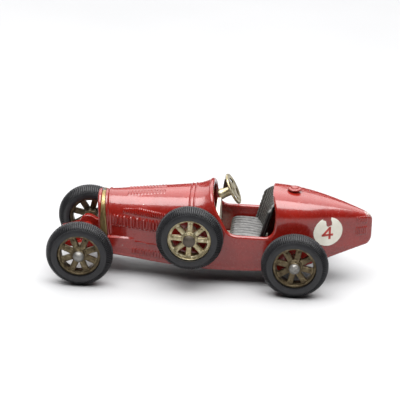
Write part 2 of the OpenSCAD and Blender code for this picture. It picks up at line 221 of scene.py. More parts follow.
def curve_through(points, steps):
    """A smooth curve through points: Catmull-Rom, open."""
    pts = [Vector(p) for p in points]
    pts = [2 * pts[0] - pts[1], *pts, 2 * pts[-1] - pts[-2]]
    out = []
    for k in range(1, len(pts) - 2):
        p0, p1, p2, p3 = pts[k - 1:k + 3]
        for i in range(steps):
            t = i / steps
            out.append(0.5 * (2 * p1 + (p2 - p0) * t + (2 * p0 - 5 * p1 + 4 * p2 - p3) * t * t
                              + (3 * p1 - p0 - 3 * p2 + p3) * t ** 3))
    out.append(pts[-2])
    return [tuple(p) for p in out]


def ring_tube(build, path, radius, sides):
    """Sweeps a round section along a closed loop of 3-D points."""
    pts = [Vector(p) for p in path]
    count = len(pts)
    rings = []
    side = Vector((0, 0, 1))
    for k in range(count):
        tangent = (pts[(k + 1) % count] - pts[k - 1]).normalized()
        side = (side - tangent * side.dot(tangent)).normalized()
        up = tangent.cross(side)
        rings.append([
            pts[k] + radius * (side * math.cos(a) + up * math.sin(a))
            for a in (math.tau * i / sides for i in range(sides))
        ])
    first, last = rings[0], rings[-1]
    base = len(build.verts)
    build.grid(rings, close_cols=True)
    # The section turns a little on its way round, so the last ring meets the first a few points on
    shift = min(range(sides), key=lambda s: (last[s] - first[0]).length)
    end = base + (count - 1) * sides
    for i in range(sides):
        a = end + (shift + i) % sides
        b = end + (shift + i + 1) % sides
        build.faces.append([a, b, base + (i + 1) % sides, base + i])


# ---------------------------------------------------------------- materials

class Shader:
    """A node material with a Principled shader and object coordinates in metres."""

    def __init__(self, name, roughness=0.4, metallic=0.0, coat=0.0, coat_roughness=0.05, specular=0.5):
        self.material = bpy.data.materials.new(name)
        self.material.use_nodes = True
        self.nodes = self.material.node_tree.nodes
        self.links = self.material.node_tree.links
        self.shader = self.nodes["Principled BSDF"]
        inputs = self.shader.inputs
        inputs["Roughness"].default_value = roughness
        inputs["Metallic"].default_value = metallic
        inputs["Coat Weight"].default_value = coat
        inputs["Coat Roughness"].default_value = coat_roughness
        inputs["IOR"].default_value = 1.5
        inputs["Specular IOR Level"].default_value = specular
        self.coords = self.nodes.new("ShaderNodeTexCoord").outputs["Object"]

    def new(self, kind, **settings):
        node = self.nodes.new(kind)
        for key, value in settings.items():
            setattr(node, key, value)
        return node

    def stretched(self, scale):
        """Object coordinates scaled differently along each axis."""
        mapping = self.new("ShaderNodeMapping")
        mapping.inputs["Scale"].default_value = scale
        self.links.new(self.coords, mapping.inputs["Vector"])
        return mapping.outputs["Vector"]

    def noise(self, size_mm, detail=4.0, rough=0.55, vector=None):
        """Noise whose blotches are about size_mm across."""
        node = self.new("ShaderNodeTexNoise")
        node.inputs["Scale"].default_value = 1 / (size_mm * MM)
        node.inputs["Detail"].default_value = detail
        node.inputs["Roughness"].default_value = rough
        self.links.new(vector or self.coords, node.inputs["Vector"])
        return node.outputs["Fac"]

    def spots(self, size_mm, radius):
        """1 inside small round spots at random places, 0 elsewhere."""
        node = self.new("ShaderNodeTexVoronoi")
        node.inputs["Scale"].default_value = 1 / (size_mm * MM)
        self.links.new(self.coords, node.inputs["Vector"])
        return self.ramp(node.outputs["Distance"], [(radius * 0.7, (1, 1, 1)), (radius, (0, 0, 0))])

    def ramp(self, value, stops):
        """Maps a value to colours, given as (position, (r, g, b))."""
        node = self.new("ShaderNodeValToRGB")
        elements = node.color_ramp.elements
        for i, (position, colour) in enumerate(stops):
            element = elements[i] if i < 2 else elements.new(position)
            element.position = position
            element.color = (*colour, 1)
        self.links.new(value, node.inputs["Fac"])
        return node.outputs["Color"]

    def span(self, value, low, high, from_low=0.3, from_high=0.7):
        """Maps a value from one range to another, clamped."""
        node = self.new("ShaderNodeMapRange")
        node.inputs["From Min"].default_value = from_low
        node.inputs["From Max"].default_value = from_high
        node.inputs["To Min"].default_value = low
        node.inputs["To Max"].default_value = high
        self.links.new(value, node.inputs["Value"])
        return node.outputs["Result"]

    def feed(self, socket, value):
        """Gives a socket a number, a colour (r, g, b) or a link."""
        if isinstance(value, tuple):
            socket.default_value = (*value, 1)
        elif isinstance(value, (int, float)):
            socket.default_value = value
        else:
            self.links.new(value, socket)

    def maths(self, operation, a, b=0.0):
        node = self.new("ShaderNodeMath", operation=operation)
        self.feed(node.inputs[0], a)
        self.feed(node.inputs[1], b)
        return node.outputs["Value"]

    def blend(self, factor, a, b):
        """Mixes two colours, where each is a socket or an (r, g, b) triple."""
        node = self.new("ShaderNodeMix", data_type="RGBA")
        for index, value in ((0, factor), (6, a), (7, b)):
            self.feed(node.inputs[index], value)
        return node.outputs[2]

    def colour(self, socket):
        self.links.new(socket, self.shader.inputs["Base Color"])
        return self

    def rough(self, socket):
        self.links.new(socket, self.shader.inputs["Roughness"])
        return self

    def metal(self, socket):
        self.links.new(socket, self.shader.inputs["Metallic"])
        return self

    def bump(self, height, distance_mm):
        """Adds a bump on top of any earlier one."""
        node = self.new("ShaderNodeBump")
        node.inputs["Distance"].default_value = distance_mm * MM
        node.inputs["Strength"].default_value = 1.0
        self.links.new(height, node.inputs["Height"])
        previous = self.shader.inputs["Normal"]
        if previous.is_linked:
            self.links.new(previous.links[0].from_socket, node.inputs["Normal"])
        self.links.new(node.outputs["Normal"], previous)
        return self

    def ball(self, centre_mm, radius_mm):
        """1 inside a soft ball, 0 outside it: marks one place on the object."""
        vector = self.new("ShaderNodeVectorMath", operation="DISTANCE")
        self.links.new(self.coords, vector.inputs[0])
        vector.inputs[1].default_value = [c * MM for c in centre_mm]
        return self.span(vector.outputs["Value"], 1.0, 0.0, radius_mm * MM * 0.6, radius_mm * MM)


def paint(name, low, high, worn_at=()):
    """Glossy enamel over a casting: slight colour drift, orange peel, dust, tiny chips and worn places."""
    s = Shader(name, roughness=0.24, coat=0.55, coat_roughness=0.06)
    base = s.ramp(s.noise(9.0, detail=3), [(0.3, low), (0.7, high)])
    dust = s.span(s.noise(0.9, detail=8, rough=0.7), 0.0, 0.06, 0.5, 0.85)
    base = s.blend(dust, base, (0.18, 0.085, 0.08))
    chips = s.maths("MULTIPLY", s.spots(3.1, 0.045), s.span(s.noise(5.0), 0.0, 1.0, 0.45, 0.55))
    for centre, radius in worn_at:
        ragged = s.span(s.noise(0.35, detail=6), 0.0, 1.0, 0.42, 0.5)
        patch = s.maths("MULTIPLY", s.ball(centre, radius), ragged)
        chips = s.maths("MAXIMUM", chips, patch)
    s.colour(s.blend(chips, base, (0.42, 0.40, 0.37)))
    s.rough(s.span(s.noise(1.4, detail=6, rough=0.65), 0.16, 0.36))
    s.bump(s.noise(0.7, detail=2), 0.018)
    s.bump(s.noise(2.6, detail=2), 0.05)
    return s.material


def cast_brass(name, dark, light, pale, roughness=(0.3, 0.55)):
    """Plated casting with tarnish in blotches and a fine pitted grain."""
    s = Shader(name, metallic=0.85)
    tarnish = s.noise(1.1, detail=8, rough=0.65)
    base = s.ramp(tarnish, [(0.32, dark), (0.52, light), (0.72, pale)])
    grime = s.span(s.noise(0.28, detail=6, rough=0.7), 0.0, 0.55, 0.52, 0.75)
    s.colour(s.blend(grime, base, tuple(c * 0.35 for c in dark)))
    s.rough(s.span(s.noise(0.6, detail=6), *roughness))
    s.metal(s.span(grime, 0.9, 0.45, 0.0, 0.5))
    s.bump(s.noise(0.22, detail=5), 0.03)
    s.bump(s.noise(0.9, detail=2), 0.04)
    return s.material


def steel(name, light, dark):
    """Dull steel with a fine grain and dark stains."""
    s = Shader(name, metallic=0.8)
    field = s.noise(0.25, detail=6, rough=0.65)
    stain = s.span(s.noise(1.2, detail=6), 0.0, 0.75, 0.48, 0.72)
    base = s.ramp(field, [(0.3, tuple(0.75 * c for c in light)), (0.7, light)])
    s.colour(s.blend(stain, base, dark))
    s.rough(s.span(field, 0.38, 0.62))
    s.bump(field, 0.02)
    return s.material


def rubber(name):
    """Charcoal tyre compound: fine grain, dust in blotches and faint scuffs."""
    s = Shader(name, specular=0.42)
    base = s.ramp(s.noise(2.2, detail=5), [(0.3, (0.006, 0.006, 0.007)), (0.7, (0.012, 0.012, 0.014))])
    dust = s.span(s.noise(0.5, detail=8, rough=0.7), 0.0, 0.10, 0.5, 0.8)
    s.colour(s.blend(dust, base, (0.12, 0.115, 0.11)))
    s.rough(s.span(s.noise(0.8, detail=6), 0.30, 0.46))
    s.bump(s.noise(0.16, detail=6, rough=0.7), 0.025)
    return s.material


def plastic(name, low, high, grime):
    """Moulded plastic or flat ink, with a slight drift of colour and grime in blotches."""
    s = Shader(name)
    base = s.ramp(s.noise(4.0, detail=4), [(0.3, low), (0.7, high)])
    dirt = s.span(s.noise(0.7, detail=8, rough=0.7), 0.0, 0.3, 0.5, 0.8)
    s.colour(s.blend(dirt, base, grime))
    s.rough(s.span(s.noise(1.0, detail=5), 0.35, 0.55))
    s.bump(s.noise(0.3, detail=4), 0.015)
    return s.material


def ribbed_plastic(name, pitch_mm, groove, crest):
    """Plastic with ribs of one pitch across the car, pale on their crests and dark between them with painted
    shade and dirt.
    """
    s = Shader(name)
    across = s.new("ShaderNodeSeparateXYZ")
    s.links.new(s.coords, across.inputs["Vector"])
    # 100 whole ribs are added so that the count is positive on both sides of the car
    count = s.maths("ADD", s.maths("DIVIDE", across.outputs["Y"], pitch_mm * MM), 100.0)
    valley = s.maths("ABSOLUTE", s.maths("SUBTRACT", s.maths("FRACT", count), 0.5))
    ragged = s.maths("ADD", valley, s.span(s.noise(0.9, detail=5), -0.07, 0.07))
    # Valley mask: painted shade in the valleys between the ribs, together with dirt.
    dirt = s.span(ragged, 0.0, 1.0, 0.16, 0.40)
    shaded = tuple(0.55 * c for c in crest)
    worn = s.ramp(s.noise(0.6, detail=7, rough=0.65), [(0.35, shaded), (0.65, crest)])
    s.colour(s.blend(dirt, worn, groove))
    s.rough(s.span(s.noise(0.9, detail=5), 0.3, 0.5))
    s.bump(s.noise(0.25, detail=5), 0.03)
    return s.material


def gold_band(name):
    """Painted gold band with streaks that run down it and brown tarnish in blotches."""
    s = Shader(name, metallic=0.75)
    streak = s.noise(1.0, detail=6, rough=0.6, vector=s.stretched((2.2, 2.2, 0.25)))
    brown, gold, pale = (0.10, 0.065, 0.022), (0.26, 0.185, 0.075), (0.48, 0.38, 0.20)
    base = s.ramp(streak, [(0.3, brown), (0.5, gold), (0.74, pale)])
    stain = s.span(s.noise(0.5, detail=7, rough=0.7), 0.0, 0.5, 0.5, 0.75)
    s.colour(s.blend(stain, base, (0.10, 0.06, 0.03)))
    s.rough(s.span(streak, 0.42, 0.24))
    s.bump(s.noise(0.35, detail=5), 0.03)
    return s.material


def paper_label(name):
    """Off-white paper with faint fibres and yellowing."""
    s = Shader(name, roughness=0.5, coat=0.2, coat_roughness=0.3)
    base = s.ramp(s.noise(3.0, detail=5), [(0.3, (0.60, 0.57, 0.48)), (0.7, (0.74, 0.72, 0.64))])
    speck = s.span(s.noise(0.25, detail=8, rough=0.75), 0.0, 0.45, 0.58, 0.8)
    s.colour(s.blend(speck, base, (0.36, 0.32, 0.24)))
    s.rough(s.span(s.noise(0.6), 0.4, 0.6))
    s.bump(s.noise(0.2, detail=6), 0.012)
    return s.material


# ---------------------------------------------------------------- body shape

# Places along the body
TAIL_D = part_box("body_shell")[0].x / MM - REAR_X
NOSE_D = 44.5
SCUTTLE_D = 19.9
STRAP_D = 24.6
SEAT_D = 6.0
# Half widths and heights at those places
SCUTTLE_W = 7.7
NOSE_W = 4.9
SEAT_W = 7.9
NOSE_TOP = 19.4
STRAP_TOP = NOSE_TOP + 1.9
SCUTTLE_TOP = 23.2
SEAT_TOP = 22.15
NOSE_WAIST = 13.4
# Plan curve and taper of the tail, and the lower edge
TAIL_CURVE = 12.0
TAIL_TAPER = 0.41
TAIL_RISE = 0.31
TIP_ROUND = 1.2
KEEL_D = 19.0
KEEL_Z = 3.8
KEEL_BEND = 0.0029
LEDGE_Z = 10.0
SILL_W = 5.9
TUCK = 0.5
WALL = 1.2
# Lowest point of the cockpit's edge on each side, and the radius of its rolled rim
EDGE_LEFT = 12.75
EDGE_RIGHT = 14.6
RIM_R = 0.6
NOSE_LEAN = 0.1
NOSE_CURVE = 2.2

BONNET_SLOPE = (STRAP_TOP - NOSE_TOP) / (NOSE_D - STRAP_D)
FLARE = (SCUTTLE_TOP - STRAP_TOP - BONNET_SLOPE * (STRAP_D - SCUTTLE_D)) / (STRAP_D - SCUTTLE_D) ** 2


def body_w(d):
    """Half width of the body."""
    if d >= SCUTTLE_D:
        t = (d - SCUTTLE_D) / (NOSE_D - SCUTTLE_D)
        return mix(SCUTTLE_W, NOSE_W, t) + 0.25 * math.sin(math.pi * t)
    if d >= SEAT_D:
        return mix(SEAT_W, SCUTTLE_W, (d - SEAT_D) / (SCUTTLE_D - SEAT_D))
    s = SEAT_D - d
    if s < TAIL_CURVE:
        return SEAT_W - TAIL_TAPER / (2 * TAIL_CURVE) * s * s
    return SEAT_W - TAIL_TAPER * (s - TAIL_CURVE / 2)


def body_top(d):
    """Height of the body's crown: straight bonnet, flared scuttle, falling tail."""
    if d >= STRAP_D:
        return mix(STRAP_TOP, NOSE_TOP, (d - STRAP_D) / (NOSE_D - STRAP_D))
    if d >= SCUTTLE_D:
        s = STRAP_D - d
        return STRAP_TOP + BONNET_SLOPE * s + FLARE * s * s
    if d >= SEAT_D:
        return mix(SEAT_TOP, SCUTTLE_TOP, (d - SEAT_D) / (SCUTTLE_D - SEAT_D))
    s = SEAT_D - d
    return SEAT_TOP - 0.044 * s - 0.0078 * s * s


def waist_z(d):
    """Height of the body's widest line."""
    if d < SCUTTLE_D:
        return 15.2
    return mix(15.5, NOSE_WAIST, (d - SCUTTLE_D) / (NOSE_D - SCUTTLE_D))


def body_low(d):
    """Height of the body's lower edge."""
    if d >= 0:
        return KEEL_Z + KEEL_BEND * (d - KEEL_D) ** 2
    return KEEL_Z + KEEL_BEND * KEEL_D ** 2 - TAIL_RISE * d


def squareness(d):
    """Exponent of the arch: 2 is an ellipse, and more is squarer."""
    return mix(3.0, NOSE_CURVE, clamp01(d / NOSE_D))


def arch_point(a, w, waist, top, n):
    """Point at angle a (degrees) on the arch over the waist, as (y, z)."""
    c = max(0.0, math.cos(math.radians(a)))
    s = max(0.0, math.sin(math.radians(a)))
    return w * c ** (2 / n), waist + (top - waist) * s ** (2 / n)


def nose_lean(d, z):
    """The bonnet's front end leans forward towards its top."""
    return NOSE_LEAN * (z - NOSE_WAIST) * clamp01((d - 42.5) / (NOSE_D - 42.5))


def side_y(d, z):
    """Half width of the outer surface at height z."""
    w, waist = body_w(d), waist_z(d)
    if z <= waist:
        return w
    n = squareness(d)
    return w * max(0.0, 1 - ((z - waist) / (body_top(d) - waist)) ** n) ** (1 / n)


# ---------------------------------------------------------------- cast details on the body's skin

def louvre_row(d, z, front, rear, top, bottom, count, height):
    """Height of a row of louvres at a place; top and bottom are (front end, rear end) pairs."""
    if not rear <= d <= front:
        return 0.0
    t = (front - d) / (front - rear)
    upper = mix(*top, t)
    lower = mix(*bottom, t)
    ends = smooth((upper - z) / 0.3) * smooth((z - lower) / 0.3)
    wave = (t * count) % 1.0
    return height * ends * smooth(wave / 0.6) * smooth((1 - wave) / 0.22)


def ridge(x, centre, half_width, height):
    """Height of a rounded ridge along the line where x is centre."""
    return height * smooth(1 - abs(x - centre) / half_width)


def side_detail(d, z):
    """Outward height of the cast details on the sides of the body."""
    h = louvre_row(d, z, 40.7, 30.6, (17.75, 16.95), (15.95, 15.35), 22, 0.24)
    h += louvre_row(d, z, 43.15, 30.8, (15.45, 14.85), (12.85, 12.15), 16, 0.26)
    h += louvre_row(d, z, 38.4, 22.0, (7.5, 6.9), (5.75, 4.95), 22, 0.16)
    if 30.6 < d < 43.3:
        h += ridge(z, mix(12.0, 12.72, (d - 30.6) / 12.7), 0.16, 0.10)
    if 22.0 < d < 37.8:
        h += ridge(z, mix(8.0, 9.2, (d - 22.0) / 15.8), 0.22, 0.14)
    if d < -13.4:
        h += louvre_row(d, z, -13.55, -16.25, (17.1, 17.0), (15.1, 15.1), 6, 0.15)
        h += louvre_row(d, z, -13.55, -16.25, (14.5, 14.5), (12.3, 12.3), 6, 0.15)
    h += ridge(z, body_low(d) + 0.28, 0.4, 0.10)
    return h


def top_detail(d, y):
    """Outward height of the hinge line and the top louvres of the bonnet and the tail."""
    h = 0.0
    if 25.6 < d < 43.2:
        h += ridge(y, 0.0, 0.22, 0.13)
    if 31.0 < d < 40.0:
        wave = ((40.0 - d) / 0.75) % 1.0
        across = smooth((y - 1.1) / 0.2) * smooth((2.7 - y) / 0.2)
        h += 0.17 * across * smooth(wave / 0.55) * smooth((1 - wave) / 0.25)
    if d < 4.5:
        h += ridge(y, 0.0, 0.2, 0.07) * clamp01((4.5 - d) / 0.5) * clamp01((d + 15.5) / 1.0)
    return h


def belt_detail(d):
    """Strap over the scuttle, and the raised front border of the bonnet."""
    h = ridge(d, 25.05, 0.30, 0.20) + ridge(d, 24.05, 0.30, 0.20)
    h += ridge(d, 43.75, 0.38, 0.20) - ridge(d, 44.2, 0.22, 0.10)
    return h


def half_ring(d):
    """Left half of a cross-section from the foot to the crown, as (y, z) points."""
    e = math.sqrt(1 - (1 - clamp01((d - TAIL_D) / TIP_ROUND)) ** 2)
    w = max(0.15, body_w(d) * mix(0.3, 1, e))
    top = body_top(d) - 1.3 * (1 - e)
    low = body_low(d) + 1.8 * (1 - e)
    waist = min(waist_z(d), top - 1.5)
    ledge = max(min(LEDGE_Z, waist - 1), low + 0.8)
    sill = max(w, SILL_W if d > SCUTTLE_D else 0)
    tuck = TUCK * min(1.0, w / 4)
    corners = [
        (sill - tuck, low), (sill - tuck / 3, mix(low, ledge, 0.45)), (sill, ledge - 0.2),
        (w, ledge + 0.1), (w, mix(ledge, waist, 0.55)), (w, waist),
    ]
    points = []
    for (y0, z0), (y1, z1), steps in zip(corners, corners[1:], (18, 16, 4, 26, 16)):
        points += [(mix(y0, y1, i / steps), mix(z0, z1, i / steps)) for i in range(steps)]
    points += [arch_point(a, w, waist, top, squareness(d)) for a in arange(0, 90, 2)]
    points.append((0.0, top))
    return points


def detailed_half_ring(d):
    """The left half section with its details raised from the skin."""
    points = half_ring(d)
    # Details fade out at the rounded tip of the tail
    fade = smooth((d - TAIL_D - 0.5) / 0.7)
    out = []
    for i, (y, z) in enumerate(points):
        y0, z0 = points[max(0, i - 1)]
        y1, z1 = points[min(len(points) - 1, i + 1)]
        normal = Vector((z1 - z0, y0 - y1))
        if i == len(points) - 1:
            normal = Vector((0, 1))
        normal.normalize()
        flat = z < waist_z(d) + 3.2
        h = side_detail(d, z) if flat else 0.0
        above = smooth((z - waist_z(d)) / 2.0)
        h += top_detail(d, y) * above
        h += belt_detail(d) * (1.0 if z > LEDGE_Z + 0.4 else 0.0)
        h *= fade
        out.append((y + normal.x * h, z + normal.y * h))
    return out


def body_ring(d):
    """Whole cross-section at d, over the crown from one foot to the other."""
    left = detailed_half_ring(d)
    ring = [(y, z) for y, z in left] + [(-y, z) for y, z in left[-2::-1]]
    return [(REAR_X + d + nose_lean(d, z), y, z) for y, z in ring]


def body_stations():
    """Places of the cross-sections: close together where there are louvres or curves."""
    tip = [TAIL_D + s for s in (0.02, 0.06, 0.12, 0.2, 0.3, 0.42, 0.56, 0.72, 0.9)]
    return (tip + arange(TAIL_D + 1.1, -13.5, 0.05) + arange(-13.5, 22.0, 0.4)
            + arange(22.0, NOSE_D, 0.09) + [NOSE_D])


def hollow_solid():
    """The space inside the body: the wall's thickness in from the skin, and open below."""
    build = Build()
    rings = []
    for d in [*arange(TAIL_D + 5, NOSE_D - WALL, 0.8), NOSE_D - WALL]:
        w = body_w(d) - WALL
        foot = w - TUCK * min(1.0, w / 4)
        top = body_top(d) - WALL
        waist = min(waist_z(d), top - 1.5)
        low = body_low(d)
        left = [(foot, low - 3), (foot, mix(low, LEDGE_Z, 0.5)), (w, mix(LEDGE_Z, waist, 0.5))]
        left += [arch_point(a, w, waist, top, squareness(d)) for a in arange(0, 90, 5)]
        left.append((0.0, top))
        ring = left + [(-y, z) for y, z in left[-2::-1]]
        rings.append([(REAR_X + d, y, z) for y, z in ring])
    build.grid(rings, close_cols=True)
    build.cap(rings[0])
    build.cap(rings[-1], flip=True)
    return build.make("hollow", RED)


def cockpit_edges(low, front_corner):
    """Rear, bottom and front stretch of the cockpit's outline in the side view, as (d, z) points.

    front_corner is the arc at the front lower corner with the points that follow it.
    """
    rear = curve_through([(6.9, 31), (6.62, 22.6), (5.8, 21), (5.15, 19), (5.1, 16.9)], 8)
    corner = arc((7.7, low + 2.4), 2.4, 187, 270, 14)
    front = curve_through([*front_corner[1], (19.45, 20.8), (19.9, 23.2), (20.2, 31)], 8)
    return rear + corner + front_corner[0] + front


LEFT_CORNER = (arc((13.7, EDGE_LEFT + 3.4), 3.4, 270, 322, 12), [(17.4, EDGE_LEFT + 3.3), (18.9, 18.9)])
RIGHT_CORNER = (arc((16.4, EDGE_RIGHT + 2.6), 2.6, 270, 348, 14), [(19.15, 18.4)])
EDGE_SIDES = {1: cockpit_edges(EDGE_LEFT, LEFT_CORNER), -1: cockpit_edges(EDGE_RIGHT, RIGHT_CORNER)}


def offset_outline(points, amount):
    """Moves an open outline sideways, away from the cockpit."""
    out = []
    for i, (d, z) in enumerate(points):
        before = Vector(points[max(0, i - 1)])
        after = Vector(points[min(len(points) - 1, i + 1)])
        along = (after - before).normalized()
        out.append((d + along.y * amount, z - along.x * amount))
    return out


def edge_at(points, z, front):
    """Place along the body where the front or rear edge of an outline passes height z."""
    lowest = min(range(len(points)), key=lambda i: points[i][1])
    part = points[lowest:] if front else points[:lowest + 1][::-1]
    for (d0, z0), (d1, z1) in zip(part, part[1:]):
        if z0 <= z <= z1:
            return mix(d0, d1, (z - z0) / max(1e-6, z1 - z0))
    return part[-1][0]


def rim_point(a, outline, front, side):
    """Middle of the wall where the cockpit's edge crosses the arch at angle a."""
    d = SCUTTLE_D if front else SEAT_D
    for _ in range(8):
        y, z = arch_point(a, body_w(d) - RIM_R, waist_z(d), body_top(d) - RIM_R, squareness(d))
        d = edge_at(outline, z, front)
    return Vector((REAR_X + d, side * y, z))


def cockpit_rim_path():
    """Closed loop along the cockpit's edge, through the middle of the wall."""
    path = []
    for side in (1, -1):
        outline = offset_outline(EDGE_SIDES[side], RIM_R)
        low_part = [
            Vector((REAR_X + d, side * (body_w(d) - RIM_R), z)) for d, z in outline if z < waist_z(d) - 0.05
        ]
        rear = [rim_point(a, outline, False, side) for a in arange(90, 0, 3)]
        front = [rim_point(a, outline, True, side) for a in arange(90, 0, 3)]
        loop = rear + low_part + front[::-1]
        path += loop if side == 1 else loop[::-1]
    spaced = [path[0]]
    for p in path[1:]:
        if (p - spaced[-1]).length > 0.12:
            spaced.append(p)
    if (spaced[-1] - spaced[0]).length < 0.12:
        spaced.pop()
    return spaced


AXLE_SLOT_R = 1.1


def body_casting(material):
    """Body: skin with its details, hollowed, opened at the cockpit and slotted for the rear axle."""
    build = Build()
    rings = [body_ring(d) for d in body_stations()]
    build.grid(rings, close_cols=True)
    build.cap(rings[0])
    build.cap(rings[-1], flip=True)
    body = build.make("body_casting", material)
    cut(body, hollow_solid())
    for side, edges in EDGE_SIDES.items():
        outline = [(REAR_X + d, z) for d, z in offset_outline(edges, RIM_R)]
        cut(body, extrude_y(outline, 0.002 * -side, 12 * side).make("opening", material))
    r = AXLE_SLOT_R
    half_turn = arange(0, math.pi, math.pi / 16)
    slot = [(REAR_X + r * math.cos(a), AXLE_Z + r * math.sin(a)) for a in half_turn]
    slot += [(REAR_X - r, AXLE_Z), (REAR_X - r, 1.0), (REAR_X + r, 1.0)]
    cut(body, extrude_y(slot, -12, 12).make("slot", material))
    rim = Build()
    ring_tube(rim, cockpit_rim_path(), RIM_R, sides=16)
    rim_obj = rim.make("cockpit_rim", material)
    shade(body.data, 38)
    join(body, rim_obj)
    return body


def join(target, *others):
    """Joins other meshes into target."""
    with bpy.context.temp_override(active_object=target, selected_editable_objects=[target, *others]):
        bpy.ops.object.join()
    return target


# ---------------------------------------------------------------- wheels, tyres and axles

TYRE_R = AXLE_Z
TYRE_SECTION_R = 2.2
TREAD_RIBS = 96
TREAD_DEPTH = 0.34
AXLE_R = 0.8
AXLE_HEAD_R = 1.3
AXLE_HEAD_H = 1.1


LIE_ACROSS = Matrix.Rotation(math.pi / 2, 4, "X")


def outward(side, centre):
    """Places a piece made about Z so that its outside faces away from the car."""
    return Matrix.Translation(centre) @ Matrix.Rotation(math.radians(-90 * side), 4, "X")


def wheel(name, material, phase, lip_r, spoke_w):
    """Cast wheel: rim with a rounded lip of inner radius lip_r, eight bolted spokes and a stepped hub."""
    build = Build()
    rim = [(4.98, -1.42), (5.1, -1.3), (5.1, 1.3), (5.05, 1.4), (4.95, 1.45), (lip_r + 0.15, 1.45),
           (lip_r + 0.04, 1.4), (lip_r, 1.3), (lip_r - 0.03, 1.0), (4.36, 0.92), (4.28, 0.8), (4.25, 0.3),
           (4.25, -0.8), (4.32, -1.2), (4.5, -1.36), (4.8, -1.42)]
    build.lathe(rim, steps=96, closed=True)
    hub = [(0.85, -2.0), (1.7, -2.0), (1.9, -1.85), (1.92, 0.9), (1.84, 1.12), (1.7, 1.2), (1.5, 1.24),
           (1.44, 1.3), (1.42, 1.76), (1.34, 1.87), (1.2, 1.9), (0.85, 1.9)]
    build.lathe(hub, steps=64, closed=True)
    # Radius, extra width and top of each section of a spoke
    stations = [(1.2, 0.0, 1.02), (3.0, 0.0, 0.94), (3.9, 0.0, 0.9), (4.12, 0.1, 0.9), (4.26, 0.35, 0.92),
                (4.38, 0.8, 0.94)]
    for k in range(8):
        turn = Matrix.Rotation(math.radians(phase + 45 * k), 4, "Z")
        rows = []
        for r, flare, top in stations:
            h = (spoke_w + flare) / 2
            low = 0.15
            half = [(h + 0.05, low), (h + 0.03, top - 0.26), (h - 0.04, top - 0.08), (h - 0.16, top)]
            left = [(r, -y, z) for y, z in half]
            right = [(r, y, z) for y, z in half[::-1]]
            rows.append([*left, (r, 0, top + 0.01), *right])
        build.grid(rows, close_cols=True, matrix=turn)
        build.cap(rows[0], matrix=turn)
        build.cap(rows[-1], flip=True, matrix=turn)
        bolt = [(0.3, 0.8), (0.28, 1.0), (0.22, 1.07), (0.12, 1.1), (0.0, 1.11)]
        build.lathe(bolt, steps=20, matrix=turn @ Matrix.Translation((3.75, 0, 0)))
    return build.make(name, material, sharp=50)


def tread_cut(phi, turn):
    """How far the tread is cut in at angle phi round the section and turn round the wheel, in millimetres."""
    p = math.degrees(abs(phi))
    shoulder = smooth((70 - p) / 8)
    middle = smooth((p - 5) / 5)
    shift = 0.5 if phi < 0 else 0.0
    wave = (turn * TREAD_RIBS + shift) % 1.0
    groove = smooth(wave / 0.2) * smooth((0.62 - wave) / 0.2)
    rings = 0.10 * (smooth(1 - abs(p - 7) / 4) + 0.7 * smooth(1 - abs(p - 33) / 4))
    return TREAD_DEPTH * shoulder * middle * groove + rings


def tyre(name, material):
    """Tyre with a round section, cross-cut tread and faint rings on its smooth sidewalls."""
    centre_r = TYRE_R - TYRE_SECTION_R
    steps = TREAD_RIBS * 6
    half = 104.3
    angles = [math.radians(a) for a in (
        [-half, -98, -92, -86, -81, -76, -72] + [*range(-68, 69, 4)] + [72, 76, 81, 86, 92, 98, half]
    )]
    build = Build()
    rows = []
    for k in range(steps):
        turn = k / steps
        a = math.tau * turn
        row = []
        for phi in angles:
            p = abs(math.degrees(phi))
            r = TYRE_SECTION_R - tread_cut(phi, turn)
            r -= 0.07 * smooth(1 - abs(p - 73) / 4) + 0.05 * smooth(1 - abs(p - 90) / 3)
            radial = centre_r + r * math.cos(phi)
            row.append((radial * math.cos(a), radial * math.sin(a), r * math.sin(phi)))
        rows.append(row)
    build.grid(rows, close_rows=True, close_cols=True)
    return build.make(name, material, sharp=48)


def dome(radius, height, rings):
    """Profile of a domed head whose flat face is at z = 0."""
    points = [(radius * 0.98, 0.0), (radius, 0.12)]
    for i in range(rings + 1):
        r = radius * 0.97 * (1 - i / rings)
        points.append((r, 0.12 + (height - 0.12) * (1 - (r / radius) ** 2) ** 0.62))
    return points


def axle(name, material, x, peened):
    """Axle rod with a domed head at each end; a peened head is dented by the hammer."""
    head_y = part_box(name.replace("_rod", ""))[1].y / MM - AXLE_HEAD_H
    build = Build()
    rod = [(AXLE_R, -head_y - 0.05), (AXLE_R, head_y + 0.05)]
    build.lathe(rod, steps=32, matrix=Matrix.Translation((x, 0, AXLE_Z)) @ LIE_ACROSS)
    for side in (1, -1):
        head = Build()
        head.lathe([(0.0, 0.0), *dome(AXLE_HEAD_R, AXLE_HEAD_H, 14)], steps=48)
        if peened:
            for v in head.verts:
                lift = clamp01((v.z - 0.25) / 0.5)
                v.z -= lift * (0.05 + 0.16 * noise.noise(Vector((v.x, v.y, 3.7 * side)) * 2.6))
                v.z = min(v.z, 1.08)
        build.add(head.verts, head.faces, outward(side, (x, side * head_y, AXLE_Z)))
    return build.make(name, material, sharp=60)


# ---------------------------------------------------------------- front suspension and radiator

